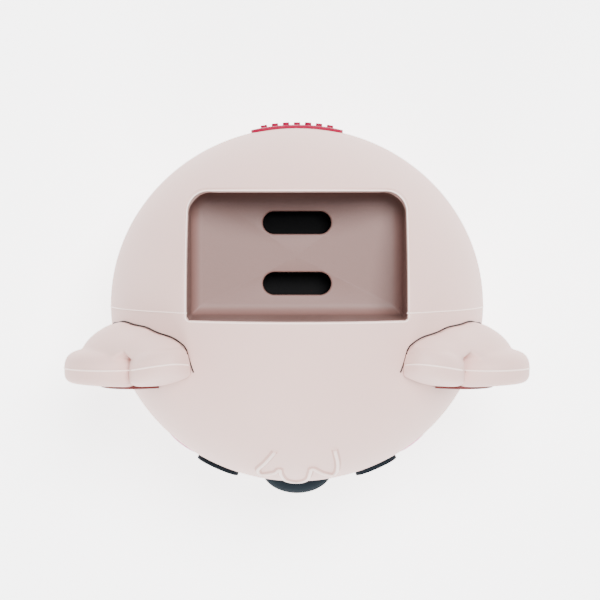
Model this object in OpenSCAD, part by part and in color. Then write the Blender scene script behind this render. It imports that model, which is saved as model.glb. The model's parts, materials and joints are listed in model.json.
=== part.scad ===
// Ball-shaped animal-head coding robot: a soft skin over two hard shells, with an open accessory bay on
// top and a two-wheel drive underneath. Millimetres. +Z is up, -Y is the face, the floor is z = 0.

/* [Ball body] */
// Widest diameter of the ball
ball_d = 100; // [98:1:102]
// Front-to-back depth of the ball without nose and badge
ball_depth = 95; // [94:1:97]
// Height of the ball's centre above the floor
ball_z = 44; // [43.5:0.5:45]
// Thickness of the soft skin
skin_t = 2; // [1.6:0.1:2.2]
// Thickness of the hard shells under the skin
shell_t = 1.8; // [1.4:0.1:2]

/* [Accessory bay] */
// Width of the bay
bay_w = 56; // [52:1:58]
// Length of the bay, front to back
bay_l = 33; // [31:1:34]
// Height of the bay floor above the ball's centre
bay_floor = 14; // [13:0.5:16]
// End-to-end length of each slot
slot_l = 18; // [14:1:19]
// Width of each slot
slot_w = 6; // [5:0.5:6.5]
// Distance between the two slots' centre lines
slot_pitch = 16; // [14:0.5:17]

/* [Drive] */
// Outside diameter of the tyres
wheel_d = 28; // [27:0.5:28.5]
// Width of a tyre
wheel_w = 7.5; // [6:0.5:8]
// Gear module
gear_m = 0.4; // [0.38:0.01:0.4]

/* [Controls] */
// Travel of the nose button
nose_travel = 1; // [0.5:0.1:1.2]
// Travel of the power switch
switch_travel = 4; // [2:0.5:4]

/* [Hidden] */
SIDES = ["left", "right"];
SIDE_NODES = ["ear", "ear_inner", "ear_clip", "eye", "cheek", "motor", "motor_pinion", "first_gear", "second_gear",
              "wheel_gear", "axle", "gear_pins", "gear_plate", "gear_cover", "wheel_hub", "tyre"];

// colours
skin_colour = [0.86, 0.81, 0.79];
shell_colour = [0.93, 0.93, 0.92];
black = [0.08, 0.09, 0.1];
pink = [0.98, 0.72, 0.8];
maroon = [0.48, 0.16, 0.2];
red = [0.9, 0.05, 0.3];
steel = [0.75, 0.75, 0.77];
board_green = [0.1, 0.4, 0.25];
gear_white = [0.95, 0.95, 0.9];
rubber = [0.13, 0.13, 0.14];

// ball
ball_r = ball_d / 2;
ball_b = ball_depth / 2;
ball_steps = 40;
far = 90;              // half size of the blocks that cut half spaces
fit = 0.1;             // gap between neighbouring mouldings
shell_out = -skin_t - fit;
shell_in = shell_out - shell_t;
hem_z = 12;            // the skin and the shells end here, the base begins
base_z = 4;            // underside of the base
base_floor_t = 1.8;

// face, as (x, z) from the ball's centre
eye_x = 21.1;
eye_w = 11.7;
eye_h = 13;
eye_raise = 0.95;
cheek_x = 30.5;
cheek_drop = 7;
cheek_d = 11.5;
cheek_raise = 0.35;
nose_half_w = 9.6;
nose_r = 6.6;
nose_drop = 5.5;
nose_proud = 4.35;
nose_z = ball_z - nose_drop;
nose_y = -ball_b - nose_proud + nose_r;   // widest plane of the nose
nose_gap = 0.35;
nose_flange_y = -41.5;
nose_board_y = -32.6;
nose_stem_end = -34.8 - nose_travel;
tuft_w = 1.2;
tuft_raise = 0.8;
// outline of the three hair locks
tuft_path = [[-5.7, 32], [-8, 27], [-10.1, 21.5], [-9.2, 18.4], [-5.8, 21.4], [-4.5, 24], [-4.2, 20.6], [-2.9, 14.5],
             [0, 11.6], [2.6, 15.5], [3.4, 22], [4, 24.6], [6.7, 20.4], [9.2, 17.6], [10.3, 20], [10.4, 26], [9.6, 31.6]];
badge_w = 24.4;
badge_h = 13;
badge_raise = 0.75;
badge_relief = 0.45;
badge_bars = [4, 6.5, 8.5, 5.5, 8.5, 6.5, 4];
badge_bar_w = 1.7;
badge_bar_pitch = 2.9;

// the origin is under the middle of the whole length, nose to badge
nose_tip = ball_b + nose_proud;
badge_back = ball_b + badge_raise + badge_relief;
centre_y = (nose_tip - badge_back) / 2;

// bay
bay_front = -2.4;
bay_mid = bay_front + bay_l / 2;
bay_corner_r = 5;
tray_wall = 1.6;
tray_floor_t = 2;
tray_z = ball_z + bay_floor;   // top of the bay floor
tray_ledge = 0.8;              // fillet step where wall meets floor
tray_flange = 3;
socket_depth = 8.4;
socket_wall = 1.2;

// ears: three lobes with domed backs; each is placed by distance and angle from the ball's centre, then its radius
ear_front = -20.1;
ear_back = -10;
ear_axis = 26.5;
ear_lobes = [[48.9, 46.3, 9.6], [54.7, 26, 11.1], [48.9, 6.7, 9.6]];
ear_core = [46, 26.5, 12.5];
ear_domes = [[46.5, 26.5, 15, -3.2], [46.7, 44.1, 10.8, -5], [46.7, 8.9, 10.8, -5]];   // with the y of the crown
ear_dome_base = -14.4;
ear_front_round = 2.2;
ear_back_round = 3;
ear_stem_y = -13.5;
ear_stem_d = 7;
ear_stem_end = 38.6;
ear_gap = 0.15;
ear_inner_at = [48.3, 27.5];
ear_inner_w = 16;
ear_inner_h = 21;
ear_inner_raise = 0.4;
ear_inner_sink = 0.8;

// drive; every shaft lies along X and is placed by (y, z)
wheel_r = wheel_d / 2;
axle_at = [-5, wheel_r];
wheel_x = 19.8;
big_teeth = 36;
small_teeth = 12;
pressure_angle = 20;
tooth_add = 0.8 * gear_m;
tooth_ded = 1.1 * gear_m;
tooth_slack = 0.05;
flank_steps = 4;
gear_c = gear_m * (big_teeth + small_teeth) / 2;
second_dir = 100;
first_dir = 20;
motor_dir = -35;
function step_at(p, dir) = p + gear_c * [cos(dir), sin(dir)];
second_at = step_at(axle_at, second_dir);
first_at = step_at(second_at, first_dir);
motor_at = step_at(first_at, motor_dir);
layer_x = [13.4, 15, 16.6];   // inner faces of the three gear layers
layer_t = 1.4;
plate_x = 11.6;
plate_t = 1.6;
cover_x = 18.2;
cover_t = 1.2;
axle_d = 3;
pin_d = 1.6;
motor_shaft_d = 1;
run = 0.05;                   // radial running clearance
motor_l = 11;
motor_w = 12;
motor_h = 10;
well_x = [19.55, 28.2];
well_gap = 1.3;
caster_at = [0, 19.5];
caster_d = 10;
caster_lip = 2.5;
caster_cup_d = 14;

// inside
deck_z = 36;
deck_t = 2;
post_d = 5.5;
post_at = [[10, -20], [10.5, 23]];
boss_at = [[17, -25], [17, 25]];
boss_d = 6.2;
screw_d = 2;
screw_head_d = 3.8;
screw_head_h = 1.4;
board_z = 46.4 - 0.6;
board_t = 1.2;
board_w = 54;
board_l = 50;
board_mid_y = 3;
board_post_at = [24, 20];
pack_size = [40, 26, 6.6];
pack_mid_y = 7.5;
speaker_d = 20;
speaker_y = -4.6;
sensor_y = -20.5;
sensor_size = [10, 8];
usb_z = 24;
usb_size = [9, 3.2, 8.3];
usb_front_y = 33.5;
usb_board_z = usb_z - usb_size[1] / 2 - 1;
slider_at = [0, 8.7];
slider_size = [4, 2.6];

module place() translate([0, centre_y, 0]) children();
module both_sides() { children(); mirror([1, 0, 0]) children(); }
module on_side(side) if (side == "left") mirror([1, 0, 0]) children(); else children();

// ---- shared shapes ----
function arc(r, from, to, steps, c) = [for (i = [0:steps]) let (a = from + (to - from) * i / steps) c + r * [cos(a), sin(a)]];
function oval_points(rx, ry) = [for (a = [0:7.5:352.5]) [rx * cos(a), ry * sin(a)]];
function round_rect(w, h, r) = concat(arc(r, 0, 90, 6, [w / 2 - r, h / 2 - r]), arc(r, 90, 180, 6, [r - w / 2, h / 2 - r]),
                                      arc(r, 180, 270, 6, [r - w / 2, r - h / 2]), arc(r, 270, 360, 6, [w / 2 - r, r - h / 2]));
function face_y(x, z) = -ball_b * sqrt(1 - (x * x + z * z) / (ball_r * ball_r));

// the ball, grown by grow all round; a solid of revolution about the front-to-back axis
module ball(grow = 0)
    translate([0, 0, ball_z]) rotate([90, 0, 0]) rotate_extrude($fn = 96)
        polygon([for (i = [0:ball_steps]) let (a = 180 * i / ball_steps - 90) [(ball_r + grow) * cos(a), (ball_b + grow) * sin(a)]]);
module hollow_ball(outer, inner) difference() { ball(outer); ball(inner); }
module above(z) translate([-far, -far, z]) cube([2 * far, 2 * far, far + ball_d]);
module below(z) translate([-far, -far, z - 2 * far]) cube(2 * far);
module front_half() translate([-far, -2 * far, -far]) cube([2 * far, 2 * far, 3 * far]);
// puts children on the face at (x, z), with their +Z outwards, +X down and +Y sideways
module on_face(x, z) {
    y = face_y(x, z);
    n = [x / pow(ball_r, 2), y / pow(ball_b, 2), z / pow(ball_r, 2)];
    translate([x, y, ball_z + z]) rotate([0, acos(n[2] / norm(n)), atan2(n[1], n[0])]) children();
}
module oval_peg(x, z, h, w, depth = 12) on_face(x, z) translate([0, 0, -depth / 2]) linear_extrude(depth) polygon(oval_points(h / 2, w / 2));
// a shaft or hole along X at (y, z)
module rod(at, x, l, d) translate([x, at[0], at[1]]) rotate([0, 90, 0]) cylinder(h = l, d = d, $fn = 40);
module along_x(x, l) translate([x, 0, 0]) rotate([90, 0, 90]) linear_extrude(l) children();
module bar_up(at, z, h, d) translate([at[0], at[1], z]) cylinder(h = h, d = d, $fn = 40);
module screw_up(at, z, l) {
    bar_up(at, z, screw_head_h, screw_head_d);
    bar_up(at, z + screw_head_h, l, screw_d);
}
module screw_down(at, z, l) {
    bar_up(at, z, screw_head_h, screw_head_d);
    bar_up(at, z - l, l, screw_d);
}

// ---- skin and shells ----
module bay_prism(grow, z) translate([0, 0, z]) linear_extrude(far)
    polygon(concat([[-bay_w / 2 - grow, bay_front - grow], [bay_w / 2 + grow, bay_front - grow]],
                   arc(bay_corner_r + grow, 0, 90, 8, [bay_w / 2 - bay_corner_r, bay_front + bay_l - bay_corner_r]),
                   arc(bay_corner_r + grow, 90, 180, 8, [bay_corner_r - bay_w / 2, bay_front + bay_l - bay_corner_r])));
module wheel_wells() both_sides()
    translate([well_x[0], axle_at[0] - wheel_r - well_gap, -1]) cube([well_x[1] - well_x[0], wheel_d + 2 * well_gap, wheel_d + 3]);
module ear_rod(d, from, to) translate([0, ear_stem_y, ball_z]) rotate([0, 90 - ear_axis, 0]) translate([0, 0, from]) cylinder(h = to - from, d = d, $fn = 40);
module nose_prism(grow, from, to) translate([0, from, nose_z]) rotate([-90, 0, 0]) linear_extrude(to - from) polygon(oval_points(nose_half_w + grow, nose_r + grow));
module usb_prism(w, h, from, to) translate([0, from, usb_z]) rotate([-90, 0, 0]) linear_extrude(to - from) polygon(round_rect(w, h, h / 2 - 0.05));
module back_plate(from) translate([0, from, ball_z]) rotate([-90, 0, 0]) linear_extrude(20) children();

// one edge of a line of the given width along a path
function unit(v) = v / norm(v);
function edge(path, w) = [for (i = [0:len(path) - 1]) let (
    before = unit(path[max(i, 1)] - path[max(i, 1) - 1]),
    after = unit(path[min(i + 1, len(path) - 1)] - path[min(i, len(path) - 2)]),
    along = unit(before + after),
    reach = min(1.3, 1 / (along * after))) path[i] + w / 2 * reach * [-along[1], along[0]]];
module tuft() intersection() {
    hollow_ball(tuft_raise, -0.4);
    translate([0, 0, ball_z]) rotate([90, 0, 0]) linear_extrude(far)
        polygon(concat(edge(tuft_path, tuft_w), [for (i = [len(tuft_path) - 1:-1:0]) edge(tuft_path, -tuft_w)[i]]));
}

module skin() color(skin_colour) {
    difference() {
        ball();
        ball(-skin_t);
        below(hem_z);
        bay_prism(0, ball_z);
        both_sides() ear_rod(ear_stem_d + 2 * fit, 30, 60);
        both_sides() oval_peg(eye_x, 0, eye_h + 2 * fit, eye_w + 2 * fit);
        both_sides() oval_peg(cheek_x, -cheek_drop, cheek_d + 2 * fit, cheek_d + 2 * fit);
        nose_prism(nose_gap, -60, -30);
        usb_prism(13, 7, 30, 60);
        intersection() {
            hollow_ball(2, -0.8);
            back_plate(30) polygon(round_rect(badge_w + 2 * fit, badge_h + 2 * fit, 4));
        }
    }
    tuft();
}

module shell_half() difference() {
    union() {
        hollow_ball(shell_out, shell_in);
        both_sides() for (at = boss_at) intersection() {
            translate([at[0], at[1], hem_z]) cylinder(h = 9, d = boss_d, $fn = 40);
            ball(shell_out - 0.5);
        }
        both_sides() for (at = boss_at) intersection() {
            translate([at[0], at[1], hem_z]) rotate([0, 0, atan2(at[1], at[0])]) translate([0, -1, 0]) cube([20, 2, 9]);
            ball(shell_out - 0.5);
        }
    }
    below(hem_z);
    bay_prism(tray_wall + fit, ball_z);
    both_sides() ear_rod(ear_stem_d + 2 * fit, 30, 60);
    nose_prism(nose_gap, -60, -30);
    usb_prism(usb_size[0] + 1, usb_size[1] + 1, 30, 60);
    both_sides() for (at = boss_at) bar_up(at, hem_z - 1, 8.5, screw_d + 0.04);
}
module front_shell() color(shell_colour) intersection() { shell_half(); translate([0, -fit / 2, 0]) front_half(); }
module rear_shell() color(shell_colour) difference() { shell_half(); translate([0, fit / 2, 0]) front_half(); }

module bay_tray() color(skin_colour) difference() {
    union() {
        intersection() { bay_prism(tray_wall, tray_z - tray_floor_t); ball(shell_out); }
        intersection() { bay_prism(tray_wall + tray_flange, tray_z + 8); hollow_ball(shell_in - fit, shell_in - 1.2); }
    }
    difference() {
        bay_prism(0, tray_z);
        difference() { bay_prism(1, tray_z - 1); bay_prism(-tray_ledge, tray_z - 2); above(tray_z + tray_ledge); }
    }
    for (s = [-1, 1]) slot(s, slot_w, slot_l, tray_z - tray_floor_t - 1, tray_floor_t + 2);
}
module slot(s, w, l, z, h) translate([0, bay_mid + s * slot_pitch / 2, z]) {
    translate([w / 2 - l / 2, -w / 2, 0]) cube([l - w, w, h]);
    for (e = [-1, 1]) translate([e * (l - w) / 2, 0, 0]) cylinder(h = h, d = w, $fn = 48);
}
module socket(s) color(black) difference() {
    z = tray_z - tray_floor_t - socket_depth;
    slot(s, slot_w + 2 * socket_wall + 0.4, slot_l + 2 * socket_wall + 0.4, z, socket_depth);
    slot(s, slot_w + 0.4, slot_l + 0.4, z + 1, socket_depth);
}

// ---- base ----
module chassis_base() color(shell_colour) difference() {
    union() {
        difference() {
            intersection() { ball(-0.2); above(base_z); }
            intersection() { ball(-0.2 - 2); above(base_z + base_floor_t); }
            above(hem_z - fit);
        }
        both_sides() for (at = post_at) bar_up(at, base_z, deck_z - base_z, post_d);
        both_sides() for (at = boss_at) intersection() {
            bar_up(at, base_z, hem_z - fit - base_z, boss_d);
            ball(-0.4);
        }
        bar_up(caster_at, base_z, 2, caster_cup_d + 1.2);
        both_sides() bar_up(post_at[1], usb_board_z - 2, 2, post_d + 1.5);
        both_sides() translate([5.3, sensor_y - 3.4, base_z]) cube([1.5, 6.8, 6]);
    }
    wheel_wells();
    bar_up(caster_at, base_z - 1, 6, caster_cup_d + 2 * fit);
    translate([0, speaker_y, base_z - 1]) speaker_holes();
    translate([-sensor_size[0] / 2 - fit, sensor_y - sensor_size[1] / 2 - fit, base_z - 1])
        cube([sensor_size[0] + 2 * fit, sensor_size[1] + 2 * fit, 4]);
    translate([slider_at[0] - slider_size[0] / 2 - switch_travel / 2 - 0.3, slider_at[1] - slider_size[1] / 2 - 0.2, base_z - 1])
        cube([slider_size[0] + switch_travel + 0.6, slider_size[1] + 0.4, 4]);
    both_sides() for (at = post_at) bar_up(at, deck_z - 8, 9, screw_d + 0.04);
    both_sides() for (at = boss_at) {
        bar_up(at, 0, hem_z - 2, screw_head_d + 0.4);
        bar_up(at, 0, hem_z + 1, screw_d + 0.3);
    }
}
module speaker_holes() for (ring = [[0, 1], [3, 6], [6, 12]]) for (i = [1:ring[1]])
    rotate([0, 0, 360 * i / ring[1]]) translate([ring[0], 0, 0]) cylinder(h = 4, d = 1.5, $fn = 20);

module caster_housing() color(shell_colour) difference() {
    union() {
        bar_up(caster_at, caster_lip, 9.5, caster_cup_d);
        bar_up(caster_at, base_z + 2 + fit, 1.5, caster_cup_d + 1.2);
    }
    translate([0, caster_at[1], caster_d / 2]) sphere(d = caster_d + 0.4, $fn = 64);
}
module caster_ball() color(steel) translate([0, caster_at[1], caster_d / 2]) sphere(d = caster_d, $fn = 64);

// ---- ears ----
function at_angle(r, a) = [r * cos(a), ball_z + r * sin(a)];
module disc_y(at, from, to, r, r_front, r_back) translate([at[0], 0, at[1]]) rotate([-90, 0, 0]) rotate_extrude($fn = 64)
    polygon(concat([[0, from]], arc(r_front, -90, 0, 6, [r - r_front, from + r_front]),
                   arc(r_back, 0, 90, 6, [r - r_back, to - r_back]), [[0, to]]));
module ear_dome_cap(dome) translate([at_angle(dome[0], dome[1])[0], 0, at_angle(dome[0], dome[1])[1]])
    rotate([-90, 0, 0]) rotate_extrude($fn = 64)
        polygon(concat([[0, ear_dome_base]], [for (i = [0:10]) [dome[2] * cos(9 * i), ear_dome_base + (dome[3] - ear_dome_base) * sin(9 * i)]]));
module ear_oval(grow, from, to) translate([at_angle(ear_inner_at[0], ear_inner_at[1])[0], from, at_angle(ear_inner_at[0], ear_inner_at[1])[1]])
    rotate([-90, 0, 0]) rotate([0, 0, -ear_axis]) linear_extrude(to - from) polygon(oval_points(ear_inner_w / 2 + grow, ear_inner_h / 2 + grow));
module ear() color(skin_colour) difference() {
    union() {
        for (lobe = ear_lobes) disc_y(at_angle(lobe[0], lobe[1]), ear_front, ear_back, lobe[2], ear_front_round, ear_back_round);
        disc_y(at_angle(ear_core[0], ear_core[1]), ear_front, ear_back, ear_core[2], ear_front_round, ear_back_round);
        for (dome = ear_domes) ear_dome_cap(dome);
        ear_rod(ear_stem_d, ear_stem_end, 50);
    }
    difference() { ball(ear_gap); ear_rod(ear_stem_d, 0, 60); }
    ear_oval(fit / 2, ear_front - 5, ear_front + ear_inner_sink);
}
module ear_inner() color(maroon) difference() {
    ear_oval(0, ear_front - ear_inner_raise, ear_front + ear_inner_sink - fit);
    ball(ear_gap + 0.2);
}
module ear_clip() color(shell_colour) difference() { ear_rod(11, 39.8, 41.2); ear_rod(ear_stem_d + 0.04, 30, 60); }

// ---- face and badge ----
module eye() color(black) intersection() { hollow_ball(eye_raise, -skin_t); oval_peg(eye_x, 0, eye_h, eye_w); }
module cheek() color(pink) intersection() { hollow_ball(cheek_raise, -skin_t); oval_peg(cheek_x, -cheek_drop, cheek_d, cheek_d); }
module rear_badge() color(red) {
    intersection() { hollow_ball(badge_raise, -0.7); back_plate(30) polygon(round_rect(badge_w, badge_h, 4)); }
    intersection() {
        hollow_ball(badge_raise + badge_relief, badge_raise - 0.2);
        union() for (i = [0:len(badge_bars) - 1])
            translate([(i - 3) * badge_bar_pitch, 0, 0]) back_plate(30) polygon(round_rect(badge_bar_w, badge_bars[i], badge_bar_w / 2 - 0.01));
    }
}
module nose_button() color(black) {
    intersection() {
        translate([0, nose_y, nose_z]) rotate([0, 90, 0]) rotate_extrude($fn = 64)
            polygon([for (i = [0:24]) let (a = 7.5 * i - 90) [nose_r * cos(a), nose_half_w * sin(a)]]);
        translate([0, nose_y + 0.01, 0]) front_half();
    }
    nose_prism(0, nose_y, nose_flange_y);
    nose_prism(1.4, nose_flange_y, nose_flange_y + 1.2);
    translate([0, nose_flange_y + 1, nose_z]) rotate([-90, 0, 0]) cylinder(h = nose_stem_end - nose_flange_y - 1, d = 3, $fn = 32);
}
// coil spring between the nose button's flange and the switch board
spring_r = 3.6;
spring_wire = 0.6;
spring_turns = 3;
spring_from = nose_flange_y + 1.2 + spring_wire / 2 + 0.02;
spring_to = nose_board_y - spring_wire / 2 - 0.02;
function spring_point(t) = [spring_r * cos(360 * spring_turns * t), spring_from + (spring_to - spring_from) * t, nose_z + spring_r * sin(360 * spring_turns * t)];
module nose_spring() color(steel) {
    rings = 66;
    sides = 8;
    points = [for (i = [0:rings]) let (t = i / rings, a = 360 * spring_turns * t, c = spring_point(t), out = [cos(a), 0, sin(a)])
              for (k = [0:sides - 1]) c + spring_wire / 2 * (cos(360 * k / sides) * out + sin(360 * k / sides) * [0, 1, 0])];
    faces = concat([[for (k = [0:sides - 1]) sides - 1 - k]], [[for (k = [0:sides - 1]) rings * sides + k]],
                   [for (i = [0:rings - 1]) for (k = [0:sides - 1]) let (n = (k + 1) % sides)
                    [i * sides + k, i * sides + n, (i + 1) * sides + n, (i + 1) * sides + k]]);
    polyhedron(points, faces);
}
module nose_switch() color(black) {
    translate([-2.25, nose_board_y - 1.4, nose_z - 2.25]) cube([4.5, 1.4, 4.5]);
    translate([0, nose_board_y - 2.1, nose_z]) rotate([-90, 0, 0]) cylinder(h = 1, d = 2, $fn = 24);
}
module switch_board() color(board_green) translate([-8, nose_board_y, deck_z - 2]) cube([16, 1.2, 11]);

// ---- inside ----
module deck() color(shell_colour) difference() {
    union() {
        translate([-30, -24, deck_z]) cube([60, 54, deck_t]);
        translate([-9, nose_board_y + 1.2, deck_z]) cube([18, 8, deck_t]);
        translate([-9, nose_board_y + 1.2, deck_z]) cube([18, 1.4, 9]);
        for (sx = [-1, 1]) for (sy = [-1, 1]) bar_up([sx * board_post_at[0], board_mid_y + sy * board_post_at[1]], deck_z, board_z - deck_z, 5);
    }
    for (sx = [-1, 1]) for (sy = [-1, 1]) bar_up([sx * board_post_at[0], board_mid_y + sy * board_post_at[1]], deck_z + 2, 20, screw_d + 0.04);
    both_sides() for (at = post_at) bar_up(at, deck_z - 1, 9, screw_d + 0.3);
}
module main_board() color(board_green) difference() {
    translate([-board_w / 2, board_mid_y - board_l / 2, board_z]) cube([board_w, board_l, board_t]);
    for (sx = [-1, 1]) for (sy = [-1, 1]) bar_up([sx * board_post_at[0], board_mid_y + sy * board_post_at[1]], board_z - 1, 9, screw_d + 0.3);
}
module board_parts() color(black) {
    z = board_z + board_t;
    translate([-20, -16, z]) cube([9, 9, 1]);
    translate([-6, -19, z]) cube([16, 12, 2.4]);
    translate([15, -12, z]) cube([5, 6, 1.2]);
    translate([20, 2, z]) cube([4, 9, 1.1]);
    translate([-24, 0, z]) cube([4, 12, 1.1]);
    for (i = [0:4]) translate([-18 + 3 * i, -5, z]) cube([1.6, 0.9, 0.7]);
}
module battery_pack() color([0.55, 0.6, 0.68]) translate([-pack_size[0] / 2, pack_mid_y - pack_size[1] / 2, deck_z + deck_t + 0.2])
    cube(pack_size);
module speaker() color(black) translate([0, speaker_y, base_z + base_floor_t]) difference() {
    union() {
        cylinder(h = 2.4, d = speaker_d, $fn = 64);
        cylinder(h = 4.4, d = 11, $fn = 48);
    }
    translate([0, 0, -1]) cylinder(h = 2, d = speaker_d - 3, $fn = 64);
}
module card_sensor() color(board_green) {
    translate([-5.5, sensor_y - 3.4, base_z + 6]) cube([11, 6.8, 1]);
    translate([-3, sensor_y - 3, base_z + 2.8]) cube([6, 6, 3.2]);
}
module sensor_window() color([0.2, 0.05, 0.08]) translate([-sensor_size[0] / 2, sensor_y - sensor_size[1] / 2, base_z + 0.2])
    cube([sensor_size[0], sensor_size[1], 1.4]);
module power_slider() color(black) {
    translate([slider_at[0] - slider_size[0] / 2 - switch_travel / 2, slider_at[1] - slider_size[1] / 2, base_z - 0.4])
        cube([slider_size[0], slider_size[1], base_floor_t + 0.6]);
    translate([slider_at[0] - 0.8 - switch_travel / 2, slider_at[1] - 0.8, base_z + base_floor_t]) cube([1.6, 1.6, 1.8]);
}
module power_switch() color(steel) translate([slider_at[0] - 5.3, slider_at[1] - 2.3, base_z + base_floor_t]) difference() {
    cube([10.6, 4.6, 3.6]);
    translate([0.9, 0.8, -1]) cube([8.8, 3, 3.2]);
}
module usb_port() color(steel) difference() {
    usb_prism(usb_size[0], usb_size[1], usb_front_y, usb_front_y + usb_size[2]);
    usb_prism(usb_size[0] - 0.6, usb_size[1] - 0.6, usb_front_y + 1, 60);
}
module usb_board() color(board_green) difference() {
    union() {
        translate([-13.6, 19.6, usb_board_z]) cube([27.2, 7, 1]);
        translate([-7, 19.6, usb_board_z]) cube([14, 17.4, 1]);
    }
    both_sides() bar_up(post_at[1], usb_board_z - 1, 3, post_d + 0.1);
}
module base_screws() color(steel) both_sides() for (at = boss_at) screw_up(at, hem_z - 2 - screw_head_h, 6);
module deck_screws() color(steel) both_sides() for (at = post_at) screw_down(at, deck_z + deck_t, 8);
module board_screws() color(steel) for (sx = [-1, 1]) for (sy = [-1, 1])
    screw_down([sx * board_post_at[0], board_mid_y + sy * board_post_at[1]], board_z + board_t, 6);

// ---- drive, right side ----
function involute(a) = tan(a) * 180 / PI - a;
// half angle of a tooth at radius r
function half_tooth(r, teeth) = let (pitch_r = gear_m * teeth / 2, base_r = pitch_r * cos(pressure_angle))
    (90 / teeth - tooth_slack / 2 / pitch_r * 180 / PI) + involute(pressure_angle) - involute(acos(min(1, base_r / max(r, base_r))));
function tooth_radii(teeth) = let (pitch_r = gear_m * teeth / 2, low = max(pitch_r * cos(pressure_angle), pitch_r - tooth_ded))
    concat([pitch_r - tooth_ded], [for (i = [0:flank_steps]) low + (pitch_r + tooth_add - low) * i / flank_steps]);
function gear_points(teeth, phase) = [for (t = [0:teeth - 1]) let (c = phase + 360 * t / teeth, rs = tooth_radii(teeth), n = len(rs))
    for (i = [0:2 * n - 1]) let (r = rs[i < n ? i : 2 * n - 1 - i], h = half_tooth(r, teeth) * (i < n ? -1 : 1)) r * [cos(c + h), sin(c + h)]];
// turns the second gear so that its teeth fit the first one's, for centres in direction dir
function mesh_phase(dir, phase, teeth, next_teeth) = let (u = -(dir - phase) * teeth / 360 - 0.5) dir + 180 - u * 360 / next_teeth;
wheel_phase = 0;
second_phase = mesh_phase(second_dir, wheel_phase, big_teeth, small_teeth);
first_phase = mesh_phase(first_dir, second_phase, big_teeth, small_teeth);
pinion_phase = mesh_phase(motor_dir, first_phase, big_teeth, small_teeth);
module gear(at, layer, teeth, phase) along_x(layer_x[layer], layer_t) translate(at) polygon(gear_points(teeth, phase));
module compound_gear(at, layer, phase) color(gear_white) difference() {
    union() {
        gear(at, layer, big_teeth, phase);
        gear(at, layer + 1, small_teeth, phase);
        rod(at, layer_x[layer] + layer_t - 0.1, layer_x[1] - layer_x[0] - layer_t + 0.2, 3.6);
    }
    rod(at, 0, 40, pin_d + 2 * run);
}
module first_gear() compound_gear(first_at, 0, first_phase);
module second_gear() compound_gear(second_at, 1, second_phase);
module wheel_gear() color(gear_white) difference() { gear(axle_at, 2, big_teeth, wheel_phase); rod(axle_at, 0, 40, axle_d); }
module motor_pinion() color(steel) {
    difference() { gear(motor_at, 0, small_teeth, pinion_phase); rod(motor_at, 0, 40, motor_shaft_d); }
    rod(motor_at, plate_x - 1, layer_x[0] + layer_t - plate_x + 1, motor_shaft_d);
}
module motor() color(steel) difference() {
    union() {
        translate([plate_x - motor_l, motor_at[0] - motor_w / 2, motor_at[1] - motor_h / 2]) cube([motor_l, motor_w, motor_h]);
        rod(motor_at, plate_x, 0.8, 4);
    }
    rod(motor_at, plate_x - 1.5, 5, motor_shaft_d + 2 * run);
}
module axle() color(steel) rod(axle_at, plate_x - 0.6, wheel_x + wheel_w - 1 - plate_x + 0.6, axle_d);
module gear_pins() color(steel) for (at = [first_at, second_at]) rod(at, plate_x, cover_x + cover_t - plate_x, pin_d);
// outline that holds all four shafts
module plate_outline(back) polygon([[-15, base_z + base_floor_t], [11, base_z + base_floor_t], [back, 14], [back, 29], [10, 35.6], [-8, 35.6], [-15, 30]]);
module gear_plate() color(shell_colour) difference() {
    along_x(plate_x, plate_t) plate_outline(17.4);
    rod(axle_at, 0, 40, axle_d + 2 * run);
    for (at = [first_at, second_at]) rod(at, 0, 40, pin_d);
    rod(motor_at, 0, 40, 4.1);
}
module gear_cover() color(shell_colour) difference() {
    union() {
        along_x(cover_x, cover_t) plate_outline(12);
        for (at = [[-13.2, 9.4], [-8.2, 33], [9.5, 12]]) rod(at, plate_x + plate_t, cover_x - plate_x - plate_t, 3);
    }
    rod(axle_at, 0, 40, axle_d + 2 * run);
    for (at = [first_at, second_at]) rod(at, 0, 40, pin_d);
}
hub_r = 10.6;
module wheel_hub() color(shell_colour) difference() {
    union() {
        translate([wheel_x, axle_at[0], axle_at[1]]) rotate([0, 90, 0]) rotate_extrude($fn = 96)
            polygon([[0, 0], [hub_r, 0], [hub_r, wheel_w], [hub_r - 1.6, wheel_w], [hub_r - 1.6, 3], [3.2, 3], [3.2, wheel_w - 0.4], [0, wheel_w - 0.4]]);
        rod(axle_at, wheel_x - 0.3, 0.5, 5);
    }
    rod(axle_at, 0, wheel_x + wheel_w - 1, axle_d);
    for (i = [0:4]) rotate_x_about(axle_at, 72 * i) translate([0, axle_at[0] + 6.1, axle_at[1]]) rotate([0, 90, 0]) cylinder(h = 40, d = 3.4, $fn = 32);
}
module rotate_x_about(at, a) translate([0, at[0], at[1]]) rotate([a, 0, 0]) translate([0, -at[0], -at[1]]) children();
module tyre() color(rubber) translate([wheel_x, axle_at[0], axle_at[1]]) rotate([0, 90, 0]) rotate_extrude($fn = 96)
    polygon(concat([[hub_r, 0.2]], arc(1.2, -90, 0, 5, [wheel_r - 1.2, 1.4]), [[wheel_r, 3.2], [wheel_r - 0.5, 3.5], [wheel_r - 0.5, 4], [wheel_r, 4.3]],
                   arc(1.2, 0, 90, 5, [wheel_r - 1.2, wheel_w - 1.4]), [[hub_r, wheel_w - 0.2]]));

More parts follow.
